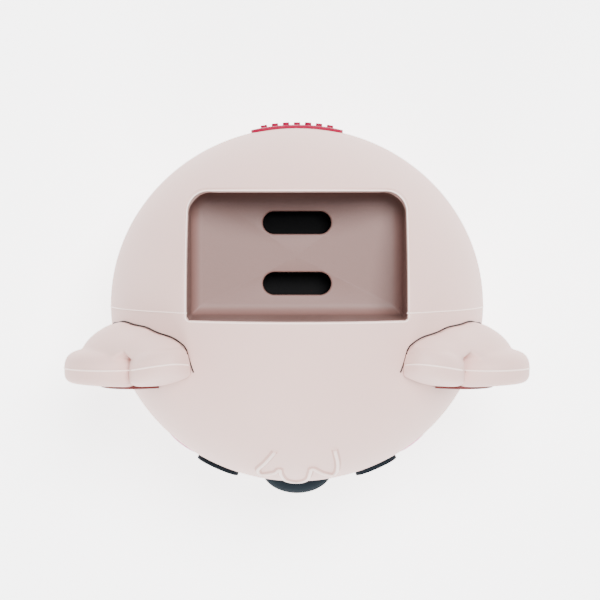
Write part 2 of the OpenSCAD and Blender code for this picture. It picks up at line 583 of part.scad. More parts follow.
place() skin();
place() front_shell();
place() rear_shell();
place() chassis_base();
place() bay_tray();
place() socket(-1);  // front_socket
place() socket(1);  // rear_socket
place() rear_badge();
place() nose_button();
place() nose_spring();
place() nose_switch();
place() switch_board();
place() deck();
place() main_board();
place() board_parts();
place() battery_pack();
place() speaker();
place() card_sensor();
place() sensor_window();
place() caster_housing();
place() caster_ball();
place() power_slider();
place() power_switch();
place() usb_port();
place() usb_board();
place() base_screws();
place() deck_screws();
place() board_screws();
for (side = SIDES) place() on_side(side) {
    ear();
    ear_inner();
    ear_clip();
    eye();
    cheek();
    motor();
    motor_pinion();
    first_gear();
    second_gear();
    wheel_gear();
    axle();
    gear_pins();
    gear_plate();
    gear_cover();
    wheel_hub();
    tyre();
}
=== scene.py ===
import json
import math
import bmesh
import bpy
import numpy as np
from mathutils import Matrix, Vector


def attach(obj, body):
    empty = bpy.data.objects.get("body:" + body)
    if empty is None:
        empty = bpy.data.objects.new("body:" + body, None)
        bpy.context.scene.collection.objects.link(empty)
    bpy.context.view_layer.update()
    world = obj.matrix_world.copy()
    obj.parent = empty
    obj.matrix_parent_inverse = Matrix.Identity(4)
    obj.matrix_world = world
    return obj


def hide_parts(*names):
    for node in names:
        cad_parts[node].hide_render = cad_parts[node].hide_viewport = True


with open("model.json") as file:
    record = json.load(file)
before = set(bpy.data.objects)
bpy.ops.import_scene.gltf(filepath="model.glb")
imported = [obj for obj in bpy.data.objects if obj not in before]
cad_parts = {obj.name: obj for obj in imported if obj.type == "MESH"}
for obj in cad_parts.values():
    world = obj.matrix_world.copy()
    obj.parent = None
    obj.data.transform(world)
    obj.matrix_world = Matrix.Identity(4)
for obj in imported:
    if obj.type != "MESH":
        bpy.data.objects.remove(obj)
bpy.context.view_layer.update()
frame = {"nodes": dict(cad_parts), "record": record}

# Lengths below are in millimetres from the middle of the ball: x to the right, y to the back, z up.
MM = 0.001
MIDDLE = np.array([0.0, 1.575, 44.0])
BALL = np.array([50.0, 47.5, 50.0])
SKIN_T = 2.0
HEM_Z = -32.0


# ---- helpers ----
def linear(code):
    """An sRGB hex colour as linear RGBA."""
    parts = [int(code[i:i + 2], 16) / 255 for i in (0, 2, 4)]
    return tuple(c / 12.92 if c <= 0.04045 else ((c + 0.055) / 1.055) ** 2.4 for c in parts) + (1.0,)


def add(tree, kind, sockets=None, **settings):
    """Adds a node. Each socket takes a value, or another node's output to link."""
    node = tree.nodes.new(kind)
    for key, value in settings.items():
        setattr(node, key, value)
    for key, value in (sockets or {}).items():
        if isinstance(value, bpy.types.NodeSocket):
            tree.links.new(value, node.inputs[key])
        else:
            node.inputs[key].default_value = value
    return node


def unit(v):
    return v / np.linalg.norm(v, axis=-1, keepdims=True)


def normal_at(p):
    return unit(p / BALL ** 2)


def on_ball(p, lift=0.0):
    """The point of the ball's surface in the direction of p, lifted along the surface's normal."""
    p = np.asarray(p, float)
    q = p / np.linalg.norm(p / BALL, axis=-1, keepdims=True)
    return q + normal_at(q) * np.asarray(lift)[..., None] if np.ndim(lift) else q + normal_at(q) * lift


def face_point(x, z):
    """The point of the face at (x, z)."""
    return np.array([x, -BALL[1] * math.sqrt(1 - (x * x + z * z) / BALL[0] ** 2), z])


def quads(rows, cols, close_rows=False, close_cols=True):
    r = np.arange(rows if close_rows else rows - 1)[:, None]
    c = np.arange(cols if close_cols else cols - 1)[None, :]
    r2, c2 = (r + 1) % rows, (c + 1) % cols
    return np.stack([r * cols + c, r * cols + c2, r2 * cols + c2, r2 * cols + c], -1).reshape(-1, 4)


def dressed(mesh, sharp=None):
    """Turns all faces outward and sets smooth shading, with hard edges over the sharp angle."""
    work = bmesh.new()
    work.from_mesh(mesh)
    bmesh.ops.recalc_face_normals(work, faces=work.faces)
    work.to_mesh(mesh)
    work.free()
    mesh.shade_smooth()
    if sharp:
        mesh.set_sharp_from_angle(angle=math.radians(sharp))
    mesh.update()
    return mesh


def new_mesh(name, points, faces, material, sharp=None):
    mesh = bpy.data.meshes.new(name)
    mesh.from_pydata(((np.asarray(points) + MIDDLE) * MM).tolist(), [], [list(map(int, f)) for f in faces])
    mesh.materials.append(material)
    return dressed(mesh, sharp)


def new_object(name, mesh):
    piece = bpy.data.objects.new(name, mesh)
    bpy.context.scene.collection.objects.link(piece)
    return piece


def settle(piece, body, slot, *nodes):
    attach(piece, body)
    if nodes:
        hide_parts(*nodes)
    return piece


def make(name, points, faces, material, body, slot, *nodes, sharp=None):
    return settle(new_object(name, new_mesh(name, points, faces, material, sharp)), body, slot, *nodes)


def applied(piece):
    """The piece with its modifiers turned into a plain mesh."""
    name = piece.name
    mesh = bpy.data.meshes.new_from_object(piece.evaluated_get(bpy.context.evaluated_depsgraph_get()))
    bpy.data.objects.remove(piece)
    mesh.name = name
    return new_object(name, mesh)


def loft(rings, cap_first=True, cap_last=True):
    """Points and faces of a closed surface through rings of equal length, capped by a fan at each end."""
    rings = [np.asarray(r, float) for r in rings]
    rows, cols = len(rings), len(rings[0])
    points = np.concatenate(rings)
    faces = [list(f) for f in quads(rows, cols)]
    if cap_first:
        points = np.vstack([points, rings[0].mean(0)])
        faces += [[len(points) - 1, (c + 1) % cols, c] for c in range(cols)]
    if cap_last:
        points = np.vstack([points, rings[-1].mean(0)])
        base = (rows - 1) * cols
        faces += [[len(points) - 1, base + c, base + (c + 1) % cols] for c in range(cols)]
    return points, faces


# ---- materials ----
def surface(name, colour, rough, mottle=0.0, mottle_mm=8.0, grain_mm=0.0, grain=0.0, **shader):
    """A moulded or metal surface: slow colour variation of mottle_mm, and a fine grain in the relief and the gloss."""
    material = bpy.data.materials.new(name)
    material.use_nodes = True
    tree = material.node_tree
    tree.nodes.clear()
    place = add(tree, "ShaderNodeTexCoord")
    slow = add(tree, "ShaderNodeTexNoise",
               {"Vector": place.outputs["Object"], "Scale": 1 / (mottle_mm * MM), "Detail": 3.0})
    base = linear(colour)
    mix = add(tree, "ShaderNodeMix",
              {"Factor": slow.outputs["Fac"], 6: tuple(c * (1 - mottle) for c in base[:3]) + (1,),
               7: tuple(min(1, c * (1 + mottle)) for c in base[:3]) + (1,)}, data_type="RGBA")
    shade = add(tree, "ShaderNodeBsdfPrincipled", {"Base Color": mix.outputs[2], "Roughness": rough, **shader})
    if grain:
        fine = add(tree, "ShaderNodeTexNoise",
                   {"Vector": place.outputs["Object"], "Scale": 1 / (grain_mm * MM), "Detail": 2.0})
        gloss = add(tree, "ShaderNodeMapRange",
                    {"Value": fine.outputs["Fac"], "To Min": rough - 0.06, "To Max": rough + 0.06})
        relief = add(tree, "ShaderNodeBump", {"Height": fine.outputs["Fac"], "Strength": grain, "Distance": 0.05 * MM})
        tree.links.new(gloss.outputs["Result"], shade.inputs["Roughness"])
        tree.links.new(relief.outputs["Normal"], shade.inputs["Normal"])
    add(tree, "ShaderNodeOutputMaterial", {"Surface": shade.outputs["BSDF"]})
    return material


# Soft-touch silicone: a powdery matt skin that lets a little light in, so edges glow and nothing glints.
silicone = surface("soft_touch_silicone", "DBB7AF", 0.6, 0.02, 14, 0.45, 0.2,
                   **{"IOR": 1.41, "Subsurface Weight": 0.1, "Subsurface Radius": (0.0009, 0.0006, 0.0005),
                      "Subsurface Scale": 0.5})
# The raised hair lines: the same silicone, glossier, and painted paler along the ridge tops as a painted highlight.
ridge_highlight_paint = surface("silicone_handled_ridge", "EBD2CA", 0.42, 0.01, 14, 0.45, 0.1, **{"IOR": 1.41})
# Beside the ridges the silicone is painted a shade browner and quite matt: painted shade along both sides of each hair
# line.
ridge_side_shade_paint = surface("silicone_with_dust", "C79F96", 0.8, 0.03, 5, 0.3, 0.12, **{"IOR": 1.41})
# Painted shadow under each ear: a thin bead of matt dark brown along the ear's foot, seen only as a thin dark line
# that parts the ear from the ball, standing in for the shade in the crease.
crease_shadow_paint = surface("brown_rubber_seal", "2A1B19", 0.85, 0.04, 6, 0.3, 0.05, **{"IOR": 1.52})
# The same silicone where it squeezes out in the mould's parting line, thin; its paler colour is a painted highlight
# along the ridge.
flash_highlight_paint = surface("silicone_parting_flash", "FBE4DC", 0.5, 0.01, 14, 0.45, 0.1, **{"IOR": 1.41})
# Spark-eroded ABS in the skin's own colour, painted darker as painted shade for the hollow of the bay: an even satin
# with a fine, dry grain.
tray_abs_painted_shade = surface("spark_eroded_abs_warm_grey", "7A5B55", 0.58, 0.015, 10, 0.35, 0.3, **{"IOR": 1.54})
# The hard base: the same grain in a warm white, glossy enough to part from the silicone above it.
shell_abs = surface("spark_eroded_abs_white", "E9E6E1", 0.5, 0.015, 12, 0.35, 0.25, **{"IOR": 1.54})
# Dark silicone with a soft sheen on its domes: slate rather than black.
slate = surface("satin_slate_silicone", "1A2228", 0.8, 0.05, 6, 0.3, 0.08, **{"IOR": 1.43, "Specular IOR Level": 0.06})
# Cheeks: candy pink and matt, so the eye finds them even as a thin edge.
pink = surface("matt_pink_silicone", "FF9CD2", 0.55, 0.02, 6, 0.4, 0.2, **{"IOR": 1.41})
# Inner ears: deep brown-red, dull like felt, which gives the ears depth.
maroon = surface("matt_maroon_silicone", "662B2A", 0.6, 0.04, 6, 0.4, 0.25, **{"IOR": 1.41})
# Badge: saturated crimson with a faint sheen along the tops of its bars.
crimson = surface("matt_crimson_silicone", "8A0030", 0.6, 0.03, 6, 0.3, 0.12,
                  **{"IOR": 1.41, "Specular IOR Level": 0.2})
# Matt black with next to no gloss, painted darker still as painted shade for the depth of the slots, so they read as
# holes.
black_abs_and_painted_shade = surface("matt_black_abs", "030304", 0.8, 0.05, 8, 0.35, 0.2, **{"IOR": 1.54, "Specular IOR Level": 0.12})
# Gears: creamy natural acetal with a waxy gloss that picks out each tooth.
acetal = surface("natural_acetal", "EFEBDD", 0.35, 0.02, 5, 0.3, 0.1, **{"IOR": 1.48})
# Tyres: near-black rubber, rough from the mould, so the tread bars show by shadow and not by shine.
tyre_rubber = surface("moulded_tyre_rubber", "1C1C1E", 0.78, 0.06, 5, 0.3, 0.35, **{"IOR": 1.52})
# Screws, axles and pins: bright steel with short sharp highlights.
steel = surface("bright_rolled_steel", "C4C6CA", 0.28, 0.04, 4, 0.2, 0.08, **{"Metallic": 1.0})
# Boards: deep green lacquer, smooth and wet-looking, slightly cloudy over the copper.
solder_mask = surface("green_solder_mask", "12492D", 0.3, 0.08, 5, 0.3, 0.1, **{"IOR": 1.5})
# Battery: crinkled grey-blue foil with a soft metal shine.
pouch_foil = surface("battery_pouch_foil", "9AA5B4", 0.35, 0.05, 5, 0.8, 0.3, **{"Metallic": 0.8})
# Card sensor's window: almost black, polished, with a hint of red in its reflections.
ir_window = surface("dark_red_infrared_window", "2A0A10", 0.12, 0.03, 6, 0.0, 0.0, **{"IOR": 1.49})

FINISH = {"soft_skin": silicone, "body_plastic": shell_abs, "tray_plastic": tray_abs_painted_shade, "black_plastic": black_abs_and_painted_shade,
          "dark_trim": slate, "cheek_pink": pink, "ear_maroon": maroon, "badge_red": crimson, "gear_nylon": acetal,
          "steel": steel, "board": solder_mask, "cell_wrap": pouch_foil, "tyre_rubber": tyre_rubber,
          "window": ir_window}
for sub in frame["record"]["subparts"]:
    cad_mesh = frame["nodes"][sub["node"]].data
    cad_mesh.materials.clear()
    cad_mesh.materials.append(FINISH[sub["material_slot"]])


# ---- skin: one sheet from the rim of the bay to the hem, turned in at both edges ----
BAY_X, BAY_FRONT, BAY_REAR, BAY_CORNER = 27.8, -2.1, 30.2, 5.0
BAY_MID_Y = 14.1
FRONT_CORNER = 0.8
LIP = 0.7
HAIR = [(-5.7, 32), (-8, 27), (-10.1, 21.5), (-9.2, 18.4), (-5.8, 21.4), (-4.5, 24), (-4.2, 20.6), (-2.9, 14.5),
        (0, 11.6), (2.6, 15.5), (3.4, 22), (4, 24.6), (6.7, 20.4), (9.2, 17.6), (10.3, 20), (10.4, 26), (9.6, 31.6)]
BROW_HALF_W = 9.5   # the skin's columns stand closer here, for the hair lines
SKIN_COLUMNS, SKIN_ROWS, SKIN_INNER_ROWS = 400, 165, 26
HAIR_RAISE = 0.5
HAIR_SPREAD = 0.8


def rounded_bay(grow=0.0, steps=10):
    """The bay's outline, counter-clockwise from the middle of its front edge, with each point's outward direction."""
    def corner(cx, cy, r, a0):
        angles = np.radians(np.linspace(a0, a0 + 90, steps))
        out = np.stack([np.cos(angles), np.sin(angles)], -1)
        return np.array([cx, cy]) + (r + grow) * out, out
    f, r = FRONT_CORNER, BAY_CORNER
    parts = [corner(BAY_X - f, BAY_FRONT + f, f, -90), corner(BAY_X - r, BAY_REAR - r, r, 0),
             corner(r - BAY_X, BAY_REAR - r, r, 90), corner(f - BAY_X, BAY_FRONT + f, f, 180)]
    start = (np.array([[0, BAY_FRONT - grow]]), np.array([[0.0, -1.0]]))
    points = np.concatenate([start[0]] + [p for p, _ in parts] + [start[0]])
    out = np.concatenate([start[1]] + [o for _, o in parts] + [start[1]])
    return points, out


def along_outline(points, out, weight, count):
    """count places along a closed outline, closer where weight is greater."""
    finer = lambda a: np.concatenate([np.linspace(a[i], a[i + 1], 40, endpoint=False)
                                      for i in range(len(a) - 1)] + [a[-1:]])
    fine, fine_out = finer(points), finer(out)
    length = np.concatenate([[0], np.cumsum(np.linalg.norm(np.diff(fine, axis=0), axis=1) * weight(fine[:-1]))])
    want = np.linspace(0, length[-1], count, endpoint=False)
    pick = lambda a: np.stack([np.interp(want, length, a[:, k]) for k in range(a.shape[1])], -1)
    return pick(fine), unit(pick(fine_out))


def spaced(count, weight):
    t = np.linspace(0, 1, 4001)
    total = np.concatenate([[0], np.cumsum(weight((t[1:] + t[:-1]) / 2))])
    return np.interp(np.linspace(0, total[-1], count), total, t)


def hair_line():
    """The hair lines as one smooth path on the ball."""
    knots = np.array([face_point(x, z) for x, z in HAIR])
    fine = []
    for i in range(len(knots) - 1):
        a, b, c, d = knots[max(i - 1, 0)], knots[i], knots[i + 1], knots[min(i + 2, len(knots) - 1)]
        for t in np.linspace(0, 1, 12, endpoint=False):
            fine.append(0.5 * ((2 * b) + (c - a) * t + (2 * a - 5 * b + 4 * c - d) * t ** 2
                               + (3 * b - a - 3 * c + d) * t ** 3))
    return np.array(fine + [knots[-1]])


def hair_lift(points):
    """Height of the swelling under the moulded hair lines at each point."""
    fine = hair_line()
    lift = np.zeros(len(points))
    near = np.where((np.abs(points[:, 0]) < 14) & (points[:, 2] > 8) & (points[:, 2] < 36) & (points[:, 1] < -20))[0]
    gap = np.full(len(near), 99.0)
    for p, q in zip(fine[:-1], fine[1:]):
        span = q - p
        t = np.clip(((points[near] - p) @ span) / (span @ span), 0, 1)
        gap = np.minimum(gap, np.linalg.norm(points[near] - p - t[:, None] * span, axis=1))
    lift[near] = HAIR_RAISE * np.exp(-(gap / HAIR_SPREAD) ** 2)
    return lift


def turned_edge(p, n, m, r):
    """Points round the edge between two faces with outward normals n and m, through a fillet of radius r."""
    c = (n * m).sum(-1, keepdims=True)
    centre = p - (n + m) * r / (1 + c)
    rows = []
    for t in np.linspace(0, 1, 7):
        d = unit(n * (1 - t) + m * t)
        rows.append(centre + r * d)
    return centre, rows


def skin_rows():
    outline, out2 = rounded_bay()
    over_brow = lambda p: 1 + 4 * ((np.abs(p[:, 0]) < BROW_HALF_W) & (p[:, 1] < 0))
    rim2, rim_out = along_outline(outline, out2, over_brow, SKIN_COLUMNS)
    rim = np.stack([rim2[:, 0], rim2[:, 1], np.zeros(len(rim2))], -1)
    rim[:, 2] = BALL[2] * np.sqrt(1 - (rim[:, 0] / BALL[0]) ** 2 - (rim[:, 1] / BALL[1]) ** 2)
    into_bay = -np.stack([rim_out[:, 0], rim_out[:, 1], np.zeros(len(rim_out))], -1)
    centre, lip = turned_edge(rim, normal_at(rim), into_bay, LIP)
    start = unit(on_ball(centre) / BALL)
    turn = np.arctan2(rim[:, 1] - BAY_MID_Y, rim[:, 0])
    hem_scale = math.sqrt(1 - (HEM_Z / BALL[2]) ** 2)
    hem = np.stack([BALL[0] * hem_scale * np.cos(turn), BALL[1] * hem_scale * np.sin(turn),
                    np.full(len(turn), HEM_Z)], -1)
    down = np.tile([0, 0, -1.0], (len(hem), 1))
    hem_centre, hem_lip = turned_edge(hem, normal_at(hem), down, 0.5)
    end = unit(on_ball(hem_centre) / BALL)
    angle = np.arccos(np.clip((start * end).sum(-1), -1, 1))[:, None]
    sweep = lambda t: unit((np.sin((1 - t) * angle) * start + np.sin(t * angle) * end) / np.sin(angle)) * BALL
    outer = []
    for t in spaced(SKIN_ROWS, lambda t: 1 + 3 * ((t > 0.34) & (t < 0.61))):
        row = sweep(t)
        outer.append(row + normal_at(row) * hair_lift(row)[:, None])
    inner = [sweep(t) - normal_at(sweep(t)) * SKIN_T for t in np.linspace(1, 0, SKIN_INNER_ROWS)]
    return list(reversed(lip[1:])) + outer + hem_lip[1:] + inner


rows = skin_rows()
skin_mesh = new_mesh("soft_skin", np.concatenate(rows), quads(len(rows), len(rows[0]), close_rows=True), silicone)
skin = new_object("soft_skin", skin_mesh)
settle(skin, "robot_body", "soft_skin", "skin")


# ---- ears ----
EAR_AXIS = math.radians(26.5)
# centre, radius, y of the back at the centre, and how far the back falls by the edge
EAR_LOBES = [((33.1, 35.6), 9.5, -9.9, 2.0), ((48.7, 24.2), 11.5, -9.5, 2.6), ((48.3, 5.0), 9.5, -9.9, 2.0)]
EAR_CORE = ((41.2, 20.5), 12.5, -10.6, 1.0)
EAR_FRONT = -20.1
EAR_FRONT_MID, EAR_FRONT_R = (43, 22), 130   # the front is a shallow dish
# centre, radius and y of the crown
EAR_DOMES = [((41.8, 20.8), 15.0, -3.2), ((37.0, 27.3), 12.7, -3.7), ((43.8, 12.7), 12.7, -3.7),
             ((32.7, 33.7), 10.3, -5.7), ((46.5, 5.9), 10.3, -5.7)]
EAR_DOME_BASE = -14.4
EAR_DOME_START = -13.6   # the domes rise from the lobes here
EAR_CREASE_TOP = -11.9
EAR_FLASH_Y = -15.3
EAR_GAP = 0.5
EAR_CURL, EAR_CURL_FROM, EAR_CURL_OVER = 1.9, 9, 15.5   # how far the ends curl back, and along which stretch
EAR_BOX = (22, -22, -6), (63, -2, 47)
EAR_CELL = 0.5
EAR_INSIDE = (45.5, 22.7)   # a place from which the whole outline is in sight
CLEAR_OF_BALL = 1.0075
EAR_SHADOW_PATH_OUT = 0.3   # how far the painted shadow line shows past the ear at its two ends
EAR_REACH = math.radians(30)   # to either side of the axis


def smooth_max(a, b, k):
    h = np.clip(0.5 + 0.5 * (a - b) / k, 0, 1)
    return a * h + b * (1 - h) + k * h * (1 - h)


def smooth_min(a, b, k):
    return -smooth_max(-a, -b, k)


def ear_bend(x, z):
    """How far the ear curls to the back towards its two ends."""
    v = z * math.cos(EAR_AXIS) - x * math.sin(EAR_AXIS)
    return EAR_CURL * np.clip((np.abs(v) - EAR_CURL_FROM) / EAR_CURL_OVER, 0, 1.3) ** 2


def front_ball(x, y, z):
    """Distance to the large ball whose near side is the ear's front."""
    (cx, cz), r = EAR_FRONT_MID, EAR_FRONT_R
    return np.sqrt((x - cx) ** 2 + (z - cz) ** 2 + (y - EAR_FRONT - r) ** 2) - r


def ear_field(p, seated=True):
    """Signed distance, roughly, to the surface of the right ear; seated, it stops short of the ball."""
    x, y, z = p[..., 0], p[..., 1], p[..., 2]
    curled = y - ear_bend(x, z)
    body = None
    for (cx, cz), r, back, drop in EAR_LOBES + [EAR_CORE]:
        side = np.hypot(x - cx, z - cz) - r
        big = (r * r + drop * drop) / (2 * drop)
        cap = np.sqrt((x - cx) ** 2 + (z - cz) ** 2 + (curled - back + big) ** 2) - big
        lobe = smooth_max(side, cap, 2.6)
        body = lobe if body is None else smooth_min(body, lobe, 0.3)
    front = front_ball(x, curled, z)
    body = smooth_max(body, front, 2.4)
    domes = None
    for (cx, cz), r, crown in EAR_DOMES:
        high = crown - EAR_DOME_BASE
        dome = (np.sqrt(((x - cx) / r) ** 2 + ((z - cz) / r) ** 2 + ((y - EAR_DOME_BASE) / high) ** 2) - 1) * high
        domes = dome if domes is None else smooth_min(domes, dome, 1.5)
    # low down, the domes keep inside the outline of the lobes, so the creases between the lobes stay open
    outline = np.minimum.reduce([np.hypot(x - cx, z - cz) - r for (cx, cz), r, _, _ in EAR_LOBES + [EAR_CORE]])
    domes = smooth_max(domes, outline + 0.3 - 1.1 * (y - EAR_CREASE_TOP), 0.8)
    body = smooth_min(body, np.maximum(domes, EAR_DOME_START - y), 0.35)
    ball = (1 - np.sqrt((x / (BALL[0] + EAR_GAP)) ** 2 + (y / (BALL[1] + EAR_GAP)) ** 2
                        + (z / (BALL[2] + EAR_GAP)) ** 2)) * BALL[0]
    u, v = x * math.cos(EAR_AXIS) + z * math.sin(EAR_AXIS), z * math.cos(EAR_AXIS) - x * math.sin(EAR_AXIS)
    ends = np.abs(v) * math.cos(EAR_REACH) - u * math.sin(EAR_REACH)
    body = smooth_max(body, ends, 1.8)
    return smooth_max(body, ball, 0.3) if seated else body


def wrap_field(field, low, high, step):
    """Closed quad mesh of the surface where field is 0, with one point in each cell that the surface crosses."""
    axes = [np.arange(a, b, step) for a, b in zip(low, high)]
    grid = np.stack(np.meshgrid(*axes, indexing="ij"), -1)
    value = field(grid)
    inside = value < 0
    shape = np.array(value.shape) - 1
    total, count = np.zeros((*shape, 3)), np.zeros(shape)
    crossings = []
    for axis in range(3):
        a = [slice(None)] * 3
        b = [slice(None)] * 3
        a[axis], b[axis] = slice(None, -1), slice(1, None)
        a, b = tuple(a), tuple(b)
        crossed = inside[a] != inside[b]
        with np.errstate(divide="ignore", invalid="ignore"):
            t = np.where(crossed, value[a] / (value[a] - value[b]), 0)
        point = grid[a] + t[..., None] * (grid[b] - grid[a])
        crossings.append(crossed)
        others = [k for k in range(3) if k != axis]
        for i in (0, 1):
            for j in (0, 1):
                pick = [slice(None)] * 3
                pick[others[0]] = slice(i, i + shape[others[0]])
                pick[others[1]] = slice(j, j + shape[others[1]])
                pick = tuple(pick)
                total += np.where(crossed[pick][..., None], point[pick], 0)
                count += crossed[pick]
    used = count > 0
    number = np.full(tuple(shape), -1)
    number[used] = np.arange(used.sum())
    points = total[used] / count[used][:, None]
    faces = []
    for axis in range(3):
        others = [k for k in range(3) if k != axis]
        spots = np.argwhere(crossings[axis])
        spots = spots[(spots[:, others[0]] > 0) & (spots[:, others[1]] > 0)]
        corner = []
        for i, j in ((0, 0), (1, 0), (1, 1), (0, 1)):
            cell = spots.copy()
            cell[:, others[0]] -= i
            cell[:, others[1]] -= j
            corner.append(number[tuple(cell.T)])
        face = np.stack(corner, -1)
        flip = inside[tuple(spots.T)] if axis != 1 else ~inside[tuple(spots.T)]
        face[flip] = face[flip][:, ::-1]
        faces.append(face)
    faces = np.concatenate(faces)
    for _ in range(3):
        e = 0.02
        slope = np.stack([(field(points + d) - field(points - d)) / (2 * e) for d in np.eye(3) * e], -1)
        move = field(points)[:, None] * slope / np.maximum((slope ** 2).sum(-1, keepdims=True), 0.2)
        points = points - np.clip(move, -0.3, 0.3)
    return points, faces


ear_points, ear_faces = wrap_field(ear_field, *EAR_BOX, EAR_CELL)
for side_name, sign in (("left", -1), ("right", 1)):
    make(side_name + "_ear_moulding", ear_points * [sign, 1, 1], ear_faces, silicone, "robot_body", "soft_skin",
         side_name + "_ear", sharp=50)


def ear_outline(y, steps=260):
    """Outline of the right ear at y, curled like the ear and outside the ball, as one open line."""
    def place(r, a):
        x, z = cx + r * math.cos(a), cz + r * math.sin(a)
        return np.array([x, y + ear_bend(x, z), z])
    (cx, cz), line = EAR_INSIDE, []
    for a in np.radians(np.linspace(-150, 210, steps)):
        low, high = 2.0, 34.0
        for _ in range(24):
            r = (low + high) / 2
            inside = ear_field(place(r, a)) < 0
            low, high = (r, high) if inside else (low, r)
        p = place(low, a)
        if np.linalg.norm(p / BALL) > CLEAR_OF_BALL:
            line.append(p)
    return np.array(line)


def ear_seat(steps=90):
    """Line on the ball along the back of the right ear's foot and round its two ends, where the painted crease shadow
    runs.
    """
    def place(v, y):
        u = math.sqrt(BALL[0] ** 2 * (1 - (y / BALL[1]) ** 2) - v * v)
        return np.array([u * math.cos(EAR_AXIS) - v * math.sin(EAR_AXIS), y,
                         u * math.sin(EAR_AXIS) + v * math.cos(EAR_AXIS)])
    def edge(v, outer, inner):
        for _ in range(24):
            y = (outer + inner) / 2
            outer, inner = (outer, y) if ear_field(place(v, y), False) < 0 else (y, inner)
        return place(v, inner)
    spans = [v for v in np.linspace(-26, 26, 700) if ear_field(place(v, EAR_FLASH_Y), False) < 0]
    reach = max(abs(spans[0]), abs(spans[-1])) * np.sin(np.linspace(-math.pi / 2, math.pi / 2, steps))
    reach = [v for v in reach if spans[0] <= v <= spans[-1]]
    def end(v):
        back, front = edge(v, 0.0, EAR_FLASH_Y)[1], edge(v, -26.0, EAR_FLASH_Y)[1]
        return [place(v + math.copysign(EAR_SHADOW_PATH_OUT, v), y) for y in np.linspace(back, front, 9)[1:]]
    return np.array(end(reach[0])[::-1] + [edge(v, 0.0, EAR_FLASH_Y) for v in reach] + end(reach[-1]))


# ---- beads along a line, made by geometry nodes ----
def bead_tree():
    """Turns a line of edges into a bead: a round profile swept along it."""
    tree = bpy.data.node_groups.new("bead_along_line", "GeometryNodeTree")
    tree.interface.new_socket("Geometry", in_out="INPUT", socket_type="NodeSocketGeometry")
    tree.interface.new_socket("Bead Radius", in_out="INPUT", socket_type="NodeSocketFloat")
    tree.interface.new_socket("Material", in_out="INPUT", socket_type="NodeSocketMaterial")
    tree.interface.new_socket("Geometry", in_out="OUTPUT", socket_type="NodeSocketGeometry")
    come = add(tree, "NodeGroupInput")
    line = add(tree, "GeometryNodeMeshToCurve", {"Mesh": come.outputs["Geometry"]})
    ring = add(tree, "GeometryNodeCurvePrimitiveCircle", {"Resolution": 8, "Radius": come.outputs["Bead Radius"]})
    swept = add(tree, "GeometryNodeCurveToMesh",
                {"Curve": line.outputs["Curve"], "Profile Curve": ring.outputs["Curve"], "Fill Caps": True})
    smooth = add(tree, "GeometryNodeSetShadeSmooth", {"Geometry": swept.outputs["Mesh"]})
    real = add(tree, "GeometryNodeRealizeInstances", {"Geometry": smooth.outputs["Geometry"]})
    coated = add(tree, "GeometryNodeSetMaterial",
                 {"Geometry": real.outputs["Geometry"], "Material": come.outputs["Material"]})
    add(tree, "NodeGroupOutput", {"Geometry": coated.outputs["Geometry"]})
    return tree


def copies_tree():
    """Puts a copy of one object on every point, turned by the point's turn and stretched by its stretch."""
    tree = bpy.data.node_groups.new("copies_on_points", "GeometryNodeTree")
    tree.interface.new_socket("Geometry", in_out="INPUT", socket_type="NodeSocketGeometry")
    tree.interface.new_socket("Copy", in_out="INPUT", socket_type="NodeSocketObject")
    tree.interface.new_socket("Material", in_out="INPUT", socket_type="NodeSocketMaterial")
    tree.interface.new_socket("Geometry", in_out="OUTPUT", socket_type="NodeSocketGeometry")
    come = add(tree, "NodeGroupInput")
    shape = add(tree, "GeometryNodeObjectInfo", {"Object": come.outputs["Copy"]}, transform_space="ORIGINAL")
    turn = add(tree, "GeometryNodeInputNamedAttribute", {"Name": "turn"}, data_type="FLOAT_VECTOR")
    stretch = add(tree, "GeometryNodeInputNamedAttribute", {"Name": "stretch"}, data_type="FLOAT_VECTOR")
    put = add(tree, "GeometryNodeInstanceOnPoints",
              {"Points": come.outputs["Geometry"], "Instance": shape.outputs["Geometry"],
               "Rotation": turn.outputs["Attribute"], "Scale": stretch.outputs["Attribute"]})
    real = add(tree, "GeometryNodeRealizeInstances", {"Geometry": put.outputs["Instances"]})
    coated = add(tree, "GeometryNodeSetMaterial",
                 {"Geometry": real.outputs["Geometry"], "Material": come.outputs["Material"]})
    add(tree, "NodeGroupOutput", {"Geometry": coated.outputs["Geometry"]})
    return tree


BEAD, COPIES = bead_tree(), copies_tree()


def grown(name, mesh, tree, inputs, body, slot, *nodes):
    """A piece grown from a starting mesh by a geometry-nodes tree, as a plain mesh."""
    piece = new_object(name, mesh)
    grow = piece.modifiers.new("grow", "NODES")
    grow.node_group = tree
    for item in tree.interface.items_tree:
        if item.in_out == "INPUT" and item.name in inputs:
            grow[item.identifier] = inputs[item.name]
    return settle(applied(piece), body, slot, *nodes)


def line_mesh(name, lines, closed=False):
    mesh = bpy.data.meshes.new(name)
    points = np.concatenate(lines)
    edges, base = [], 0
    for line in lines:
        edges += ([(base + i, base + i + 1) for i in range(len(line) - 1)]
                  + ([(base + len(line) - 1, base)] if closed else []))
        base += len(line)
    mesh.from_pydata(((points + MIDDLE) * MM).tolist(), edges, [])
    return mesh


def points_mesh(name, places, turns, stretches):
    mesh = bpy.data.meshes.new(name)
    mesh.from_pydata(((np.asarray(places) + MIDDLE) * MM).tolist(), [], [])
    for key, values in (("turn", turns), ("stretch", stretches)):
        mesh.attributes.new(key, "FLOAT_VECTOR", "POINT").data.foreach_set("vector", np.asarray(values, float).ravel())
    return mesh


def pattern_object(name, points, faces, sharp=30):
    """An object in the scene for the copies tree to repeat, in metres about its own origin."""
    mesh = bpy.data.meshes.new(name)
    mesh.from_pydata((np.asarray(points) * MM).tolist(), [], [list(map(int, f)) for f in faces])
    mesh.shade_smooth()
    mesh.set_sharp_from_angle(angle=math.radians(sharp))
    return new_object(name, mesh)


def repeated(name, pattern, places, turns, stretches, material, body, slot, *nodes):
    piece = grown(name, points_mesh(name, places, turns, stretches), COPIES,
                  {"Copy": pattern, "Material": material}, body, slot, *nodes)
    bpy.data.objects.remove(pattern)
    return piece


